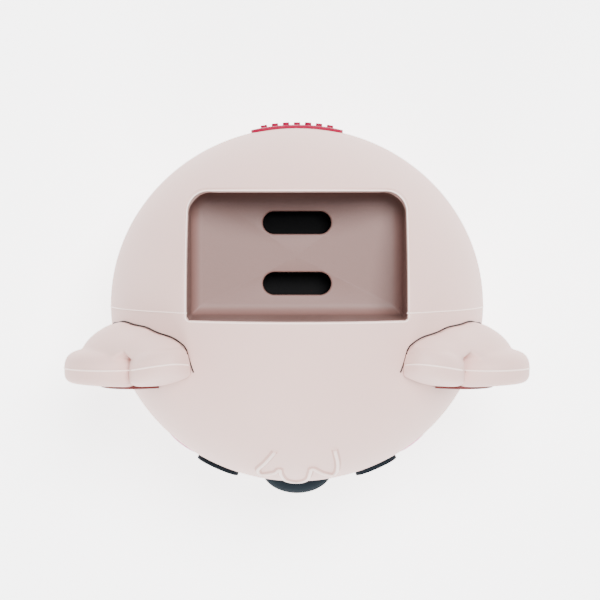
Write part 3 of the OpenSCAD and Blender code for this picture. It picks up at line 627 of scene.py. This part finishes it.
SEAM_Y = -0.3
SEAM_R = BALL[0] + 0.02
angles = np.radians(np.linspace(56.4, -39.2, 90))
arcs = [np.stack([s * SEAM_R * np.cos(angles), np.full(len(angles), SEAM_Y), SEAM_R * np.sin(angles)], -1)
        for s in (-1, 1)]
grown("skin_flash", line_mesh("skin_flash", arcs), BEAD, {"Bead Radius": 0.16 * MM, "Material": flash_highlight_paint},
      "robot_body", "soft_skin")
# the hair lines are round ridges on the swelling: a wide dark foot of painted shade under a thin pale ridge with a
# painted highlight
for name, lift, radius, finish in (("hair_foot", -0.7, 1.35, ridge_side_shade_paint),
                                   ("hair_ridge", 0.45, 0.46, ridge_highlight_paint)):
    grown(name, line_mesh(name, [on_ball(hair_line(), lift)]), BEAD, {"Bead Radius": radius * MM, "Material": finish},
          "robot_body", "soft_skin")
# the rim of the bay has its own fine bead in the paler flash silicone: a painted highlight along the lip
rim_line = rounded_bay(0.35)[0][1:-1]
rim_line = np.concatenate([a + (b - a) * np.linspace(0, 1, 14, endpoint=False)[:, None]
                           for a, b in zip(rim_line, np.roll(rim_line, -1, axis=0)) if np.linalg.norm(b - a) > 1e-6])
rim_line = np.column_stack([rim_line, BALL[2] * np.sqrt(1 - (rim_line[:, 0] / BALL[0]) ** 2
                                                        - (rim_line[:, 1] / BALL[1]) ** 2)])
grown("rim_flash", line_mesh("rim_flash", [rim_line - normal_at(rim_line) * 0.1], closed=True), BEAD,
      {"Bead Radius": 0.19 * MM, "Material": flash_highlight_paint}, "robot_body", "soft_skin")
ear_line = ear_outline(EAR_FLASH_Y)
crease_shadow_path = ear_seat()
for side_name, sign in (("left", -1), ("right", 1)):
    grown(side_name + "_ear_flash", line_mesh("ear_flash", [ear_line * [sign, 1, 1]]), BEAD,
          {"Bead Radius": 0.2 * MM, "Material": flash_highlight_paint}, "robot_body", "soft_skin")
    # a thin dark bead as painted shadow in the crease between each ear and the ball
    grown(side_name + "_ear_seal", line_mesh("ear_seal", [crease_shadow_path * [sign, 1, 1]]), BEAD,
          {"Bead Radius": 0.22 * MM, "Material": crease_shadow_paint}, "robot_body", "soft_skin")


# ---- inlays: low domes set in the skin ----
def oval(half_w, half_h, steps=72, power=2.0):
    a = np.linspace(0, 2 * math.pi, steps, endpoint=False)
    c, s = np.cos(a), np.sin(a)
    return np.stack([half_w * np.sign(c) * np.abs(c) ** (2 / power),
                     half_h * np.sign(s) * np.abs(s) ** (2 / power)], -1)


def inlay(at, outline, top, edge, crown=0.0, sink=1.2):
    """A pad on the ball at a point of its face or back, raised by top, with a round edge and a crowned middle."""
    n = normal_at(at)
    across = unit(np.cross([0, 0, 1.0], n)) if abs(n[2]) < 0.99 else np.array([1.0, 0, 0])
    up = np.cross(n, across)
    rings = []
    def ring(scale, lift, shrink=0.0):
        size = np.linalg.norm(outline, axis=1, keepdims=True)
        flat = outline * scale * (1 - shrink / size)
        p = at + flat[:, :1] * across + flat[:, 1:] * up
        return on_ball_along(p, n, lift)
    rings.append(ring(1.0, -sink))
    for a in np.radians(np.linspace(0, 90, 7)):
        rings.append(ring(1.0, top - edge + edge * math.sin(a), edge * (1 - math.cos(a))))
    for s in np.linspace(0.86, 0.12, 8):
        rings.append(ring(s, top + crown * (1 - s * s), edge))
    return loft(rings)


def on_ball_along(p, n, lift):
    """Moves points along n onto the ball's surface, then off it along the surface's own normal."""
    a = ((n / BALL) ** 2).sum()
    b = (p * n / BALL ** 2).sum(-1)
    c = ((p / BALL) ** 2).sum(-1) - 1
    q = p + ((-b + np.sqrt(np.maximum(b * b - a * c, 0))) / a)[:, None] * n
    return q + normal_at(q) * lift


EYE_AT, EYE_W, EYE_H = (21.1, 0.0), 11.7, 13.0
CHEEK_AT, CHEEK_D = (30.5, -7.0), 11.5
for side_name, sign in (("left", -1), ("right", 1)):
    pts, fcs = inlay(face_point(sign * EYE_AT[0], EYE_AT[1]), oval(EYE_W / 2, EYE_H / 2), 1.2, 0.12)
    make(side_name + "_eye_dome", pts, fcs, slate, "robot_body", "dark_trim", side_name + "_eye")
    pts, fcs = inlay(face_point(sign * CHEEK_AT[0], CHEEK_AT[1]), oval(CHEEK_D / 2, CHEEK_D / 2), 0.85, 0.15)
    make(side_name + "_cheek_disc", pts, fcs, pink, "robot_body", "cheek_pink", side_name + "_cheek")


# ---- inner ear ----
INNER_AT, INNER_W, INNER_H = (42.8, 22.3), 16.0, 21.0
INNER_RAISE, INNER_EDGE = 0.28, 0.3


def ear_front_y(x, z):
    (cx, cz), r = EAR_FRONT_MID, EAR_FRONT_R
    return EAR_FRONT + r - np.sqrt(r ** 2 - (x - cx) ** 2 - (z - cz) ** 2) + ear_bend(x, z)


def inner_ear(sign):
    flat = oval(INNER_W / 2, INNER_H / 2, 96)
    def ring(shrink, lift, scale=1.0):
        size = np.linalg.norm(flat, axis=1, keepdims=True)
        q = flat * scale * (1 - shrink / size)
        x = INNER_AT[0] + q[:, 0] * math.cos(EAR_AXIS) - q[:, 1] * math.sin(EAR_AXIS)
        z = INNER_AT[1] + q[:, 0] * math.sin(EAR_AXIS) + q[:, 1] * math.cos(EAR_AXIS)
        y = ear_front_y(x, z) - lift
        # where the ear meets the ball, the inlay is trimmed to the ball's curve
        r = np.hypot(x, z)
        edge = (BALL[0] + 0.35) * np.sqrt(1 - (y / (BALL[1] + 0.35)) ** 2)
        grow = np.maximum(edge / r, 1)
        return np.stack([sign * x * grow, y, z * grow], -1)
    rings = [ring(0, -0.7)]
    rings += [ring(INNER_EDGE * (1 - math.cos(a)), INNER_RAISE + INNER_EDGE * math.sin(a))
              for a in np.radians(np.linspace(0, 90, 6))]
    rings += [ring(INNER_EDGE, INNER_RAISE + INNER_EDGE, s) for s in np.linspace(0.85, 0.1, 8)]
    return loft(rings)


for side_name, sign in (("left", -1), ("right", 1)):
    pts, fcs = inner_ear(sign)
    make(side_name + "_inner_ear", pts, fcs, maroon, "robot_body", "ear_maroon", side_name + "_ear_inner")


# ---- badge: a plate with plain bars ----
BADGE_W, BADGE_H = 24.4, 13.0
BARS = [4, 6.5, 8.5, 5.5, 8.5, 6.5, 4]
BAR_W, BAR_PITCH, BAR_RAISE = 1.7, 2.9, 0.45
BADGE_RAISE = 0.75
BAR_SUNK = 0.03
pts, fcs = inlay(np.array([0, BALL[1], 0.0]), oval(BADGE_W / 2, BADGE_H / 2, steps=120, power=6), BADGE_RAISE, 0.3)
make("badge_plate", pts, fcs, crimson, "robot_body", "badge_red", "rear_badge")


def rounded_bar(width, length, height, round_edge=0.25, steps=8):
    """A bar with round ends, lying on z = 0 and pointing up, long along y."""
    rings = []
    turn = np.radians(np.linspace(0, 90, 5))
    for shrink, z in [(0, -0.6)] + [(round_edge * (1 - math.cos(a)), height - round_edge + round_edge * math.sin(a))
                                    for a in turn]:
        r, half = width / 2 - shrink, length / 2 - width / 2
        a = np.linspace(0, math.pi, steps)
        end = np.stack([r * np.cos(a), half + r * np.sin(a)], -1)
        ring = np.concatenate([end, -end])
        rings.append(np.column_stack([ring, np.full(len(ring), z)]))
    return loft(rings)


bar_places, bar_turns, bar_stretch = [], [], []
for i, tall in enumerate(BARS):
    p = np.array([(i - len(BARS) // 2) * BAR_PITCH, 0, 0.0])
    p[1] = BALL[1] * math.sqrt(1 - (p[0] / BALL[0]) ** 2)
    n = normal_at(p)
    bar_places.append(p + n * (BADGE_RAISE - BAR_SUNK))
    bar_turns.append(Matrix((Vector((n[1], -n[0], 0)), Vector((0, 0, 1)), Vector(n))).transposed().to_euler())
    bar_stretch.append((1, tall / max(BARS), 1))
pts, fcs = rounded_bar(BAR_W, max(BARS), BAR_RAISE)
repeated("badge_bars", pattern_object("bar", pts, fcs), bar_places, bar_turns, bar_stretch, crimson,
         "robot_body", "badge_red")


# ---- nose ----
NOSE_HALF_W, NOSE_R, NOSE_PROUD, NOSE_Z = 9.6, 6.6, 4.35, -5.5
NOSE_Y = -BALL[1] - NOSE_PROUD + NOSE_R
NOSE_FLANGE_Y = -41.5


def nose_shape():
    a = np.linspace(0, 2 * math.pi, 96, endpoint=False)
    circle = np.stack([np.cos(a), np.zeros(96), np.sin(a)], -1)
    def ring(y, scale, grow=0.0):
        return np.array([0, y, NOSE_Z]) + circle * np.array([NOSE_HALF_W * scale + grow, 0, NOSE_R * scale + grow])
    rings = [ring(NOSE_FLANGE_Y + 1.2, 1, 1.4), ring(NOSE_FLANGE_Y, 1, 1.4), ring(NOSE_FLANGE_Y, 1, 0.02),
             ring(NOSE_Y, 1)]
    rings += [ring(NOSE_Y - NOSE_R * math.sin(t), math.cos(t)) for t in np.radians(np.linspace(4, 88, 26))]
    return loft(rings)


pts, fcs = nose_shape()
make("nose_cap", pts, fcs, slate, "nose", "dark_trim", "nose_button", sharp=40)


# ---- openings in the skin ----
def cut(piece, points, faces):
    tool = new_object("cutter", new_mesh("cutter", points, faces, silicone))
    knife = piece.modifiers.new("cut", "BOOLEAN")
    knife.operation, knife.solver, knife.object = "DIFFERENCE", "EXACT", tool
    mesh = bpy.data.meshes.new_from_object(piece.evaluated_get(bpy.context.evaluated_depsgraph_get()))
    piece.modifiers.clear()
    piece.data = dressed(mesh, 40)
    bpy.data.objects.remove(tool)


def along_y(outline, y0, y1):
    ring = lambda y: np.stack([outline[:, 0], np.full(len(outline), y), outline[:, 1]], -1)
    return loft([ring(y1), ring(y0)])


NOSE_GAP = 0.35
PORT_HOLE_W, PORT_HOLE_H, PORT_Z = 13.0, 7.0, -20
cut(skin, *along_y(oval(NOSE_HALF_W + NOSE_GAP, NOSE_R + NOSE_GAP, 96) + [0, NOSE_Z], -60, -30))
cut(skin, *along_y(oval(PORT_HOLE_W / 2, PORT_HOLE_H / 2, 64, 4) + [0, PORT_Z], 30, 60))


# ---- bay: the moulded tray between the skin's rim and its floor ----
TRAY_FLOOR, TRAY_T, TRAY_FILLET, TRAY_WALL = 14.0, 2.0, 3.0, 1.6
SLOT_W, SLOT_L, SLOT_LIP, SLOT_Y = 6.0, 18.0, 0.45, (6.1, 22.1)


def bay_loop(inset, z):
    """The bay's outline moved inward by inset, at height z or, where z is None, just under the skin's inner face."""
    f, r = max(FRONT_CORNER - inset, 0.25), max(BAY_CORNER - inset, 0.25)
    x, front, rear = BAY_X - inset, BAY_FRONT + inset, BAY_REAR - inset
    turns = []
    for cx, cy, radius, start in ((x - f, front + f, f, -90), (x - r, rear - r, r, 0),
                                  (r - x, rear - r, r, 90), (f - x, front + f, f, 180)):
        a = np.radians(np.linspace(start, start + 90, 9))
        turns.append(np.stack([cx + radius * np.cos(a), cy + radius * np.sin(a)], -1))
    loop = []
    for i, count in enumerate((24, 36, 24, 40)):
        a, b = turns[i][-1], turns[(i + 1) % 4][0]
        loop += [turns[i], a + (b - a) * np.linspace(0, 1, count + 1)[1:-1, None]]
    loop = np.concatenate(loop)
    inner = BALL - SKIN_T - 0.05
    top = inner[2] * np.sqrt(1 - (loop[:, 0] / inner[0]) ** 2 - (loop[:, 1] / inner[1]) ** 2)
    return np.column_stack([loop, top if z is None else np.full(len(loop), z)])


def pill(grow, y, z):
    r, half = SLOT_W / 2 + grow, (SLOT_L - SLOT_W) / 2
    a = np.linspace(-math.pi / 2, math.pi / 2, 20)
    end = np.stack([half + r * np.cos(a), r * np.sin(a)], -1)
    return np.column_stack([np.concatenate([end, -end]) + [0, y], np.full(40, z)])


rings = [bay_loop(TRAY_FILLET * (1 - math.sin(a)), TRAY_FLOOR + TRAY_FILLET * (1 - math.cos(a)))
         for a in np.radians(np.linspace(0, 90, 9))]
top_in, top_out = bay_loop(0, None), bay_loop(-TRAY_WALL, None)
rings += [rings[-1] * (1 - t) + top_in * t for t in (0.25, 0.5, 0.75, 1)]
rings += [top_out, bay_loop(-TRAY_WALL, TRAY_FLOOR - TRAY_T)]
tray = make("bay_liner", *loft(rings), tray_abs_painted_shade, "robot_body", "tray_plastic", "bay_tray", sharp=40)
for slot_y in SLOT_Y:
    lip = [(SLOT_LIP * (1 - math.cos(a)), TRAY_FLOOR - SLOT_LIP * (1 - math.sin(a)))
           for a in np.radians(np.linspace(0, 90, 6))]
    cut(tray, *loft([pill(grow, slot_y, z) for grow, z in [(0, 10)] + lip + [(SLOT_LIP, 16)]]))


# ---- wheels: a ring of rubber with two rows of slanted bars ----
AXLE_Y, AXLE_Z, WHEEL_X, WHEEL_W, WHEEL_R, HUB_R = -5.0, -30.0, 19.8, 7.5, 14.0, 10.6
TREAD_BARS = 34
TREAD_PROUD = 0.45   # height of the bars over the ring
TREAD_ROOT = 0.15    # depth of the bars in the ring
# place across the tyre, slant in degrees and shift round it of each row of bars
TREAD_ROWS = ((2.05, 18, 0.0), (5.45, -18, 0.5))


def block(length, width, height, bevel):
    """A bar for the tread, standing on z = 0 with a bevelled top."""
    ring = lambda inset, z: np.array([[a * (length / 2 - inset), b * (width / 2 - inset), z]
                                      for a, b in ((-1, -1), (1, -1), (1, 1), (-1, 1))])
    return loft([ring(0, 0), ring(0, height - bevel), ring(bevel, height)])


for side_name, sign in (("left", -1), ("right", 1)):
    core = WHEEL_R - TREAD_PROUD
    shoulder = [(1.6 - 1.4 * math.cos(a), core - 1.4 + 1.4 * math.sin(a)) for a in np.radians(np.linspace(0, 90, 6))]
    groove = [(3.4, core), (3.6, core - 0.5), (3.9, core - 0.5), (4.1, core)]
    profile = ([(0.2, HUB_R)] + shoulder + groove
               + [(WHEEL_W - x, r) for x, r in reversed(shoulder)] + [(WHEEL_W - 0.2, HUB_R)])
    spin = np.radians(np.arange(0, 360, 3.75))
    tyre_rows = [np.stack([np.full(len(spin), sign * (WHEEL_X + x)), AXLE_Y + r * np.cos(spin),
                           AXLE_Z + r * np.sin(spin)], -1) for x, r in profile]
    make(side_name + "_tyre_ring", np.concatenate(tyre_rows), quads(len(tyre_rows), len(spin), close_rows=True),
         tyre_rubber, side_name + "_wheel", "tyre_rubber", side_name + "_tyre", sharp=40)
    places, turns = [], []
    for x, slant, shift in TREAD_ROWS:
        for i in range(TREAD_BARS):
            a = 2 * math.pi * (i + shift) / TREAD_BARS
            places.append([sign * (WHEEL_X + x), AXLE_Y + (core - TREAD_ROOT) * math.cos(a),
                           AXLE_Z + (core - TREAD_ROOT) * math.sin(a)])
            turns.append((Matrix.Rotation(a - math.pi / 2, 3, "X")
                          @ Matrix.Rotation(math.radians(sign * slant), 3, "Z")).to_euler())
    repeated(side_name + "_tyre_bars", pattern_object("tread_bar", *block(2.3, 1.2, 0.59, 0.2)), places, turns,
             np.ones((len(places), 3)), tyre_rubber, side_name + "_wheel", "tyre_rubber")


# ---- screws under the base: pan heads with a hexagonal socket ----
def screw(head_r=1.9, head_h=1.4, shaft_r=1.0, length=6.0, socket_r=0.95, socket_h=0.8):
    """A screw pointing up, with its head's outer face at z = 0."""
    a = np.linspace(0, 2 * math.pi, 36, endpoint=False)
    round_ring = lambda r, z: np.stack([r * np.cos(a), r * np.sin(a), np.full(36, z)], -1)
    hexagon = socket_r * math.cos(math.pi / 6) / np.cos((a + math.pi / 6) % (math.pi / 3) - math.pi / 6)
    hex_ring = lambda z, k=1.0: np.stack([k * hexagon * np.cos(a), k * hexagon * np.sin(a), np.full(36, z)], -1)
    rings = [hex_ring(socket_h, 0.3), hex_ring(socket_h), hex_ring(0.1), round_ring(1.15, 0.03), round_ring(1.45, 0.1)]
    rings += [round_ring(head_r - 0.5 + 0.5 * math.sin(t), 0.2 + 0.4 * (1 - math.cos(t)))
              for t in np.radians((30, 60, 90))]
    rings += [round_ring(head_r, head_h), round_ring(shaft_r, head_h), round_ring(shaft_r, head_h + length - 0.4),
              round_ring(shaft_r - 0.35, head_h + length)]
    return loft(rings)


SCREW_AT = [(sx * 17.0, sy * 25.0, 8.6 - MIDDLE[2]) for sx in (-1, 1) for sy in (-1, 1)]
repeated("case_screws", pattern_object("screw", *screw()), SCREW_AT, [(0, 0, 0.4 * i) for i in range(4)],
         np.ones((4, 3)), steel, "robot_body", "steel", "base_screws")


# ---- stage ----
# White paper on a light table: it glows a little, so shadows on it stay soft and pale.
paper = surface("white_paper_on_light_table", "FFFFFF", 0.9, 0.0, 40,
                **{"Emission Color": (1, 1, 1, 1), "Emission Strength": 2.7})
floor_mesh = bpy.data.meshes.new("floor")
floor_mesh.from_pydata([(-3, -3, 0), (3, -3, 0), (3, 3, 0), (-3, 3, 0)], [], [(0, 1, 2, 3)])
floor_mesh.materials.append(paper)
floor = new_object("floor", floor_mesh)


def lamp(name, at, toward, size, power):
    data = bpy.data.lights.new(name, "AREA")
    data.shape, data.size, data.energy = "DISK", size, power
    lamp_object = new_object(name, data)
    lamp_object.location = at
    lamp_object.rotation_euler = (Vector(toward) - Vector(at)).to_track_quat("-Z", "Y").to_euler()


lamp("overhead", (0.14, 0.3, 0.95), (0, 0, 0.04), 0.42, 20.0)
lamp("front_fill", (-0.2, -0.9, 0.5), (0, 0, 0.04), 0.4, 12.0)
world = bpy.data.worlds.new("studio")
world.use_nodes = True
world.node_tree.nodes["Background"].inputs["Color"].default_value = linear("FFFFFF")
world.node_tree.nodes["Background"].inputs["Strength"].default_value = 0.75
bpy.context.scene.world = world

# The camera looks down on the middle, from a little to the back.
CAMERA_TILT, CAMERA_AWAY = math.radians(2.7), 0.6
CAMERA_ZOOM = 3.71   # focal length in sensor widths
camera_data = bpy.data.cameras.new("camera")
camera_data.sensor_width = 36
camera_data.lens = CAMERA_ZOOM * camera_data.sensor_width
camera_data.shift_x, camera_data.shift_y = 0.005, 0.007
camera_data.clip_end = 10
camera = new_object("camera", camera_data)
camera.location = Vector(MIDDLE * MM) + CAMERA_AWAY * Vector((0, math.sin(CAMERA_TILT), math.cos(CAMERA_TILT)))
camera.rotation_euler = (-CAMERA_TILT, 0, 0)
bpy.context.scene.camera = camera
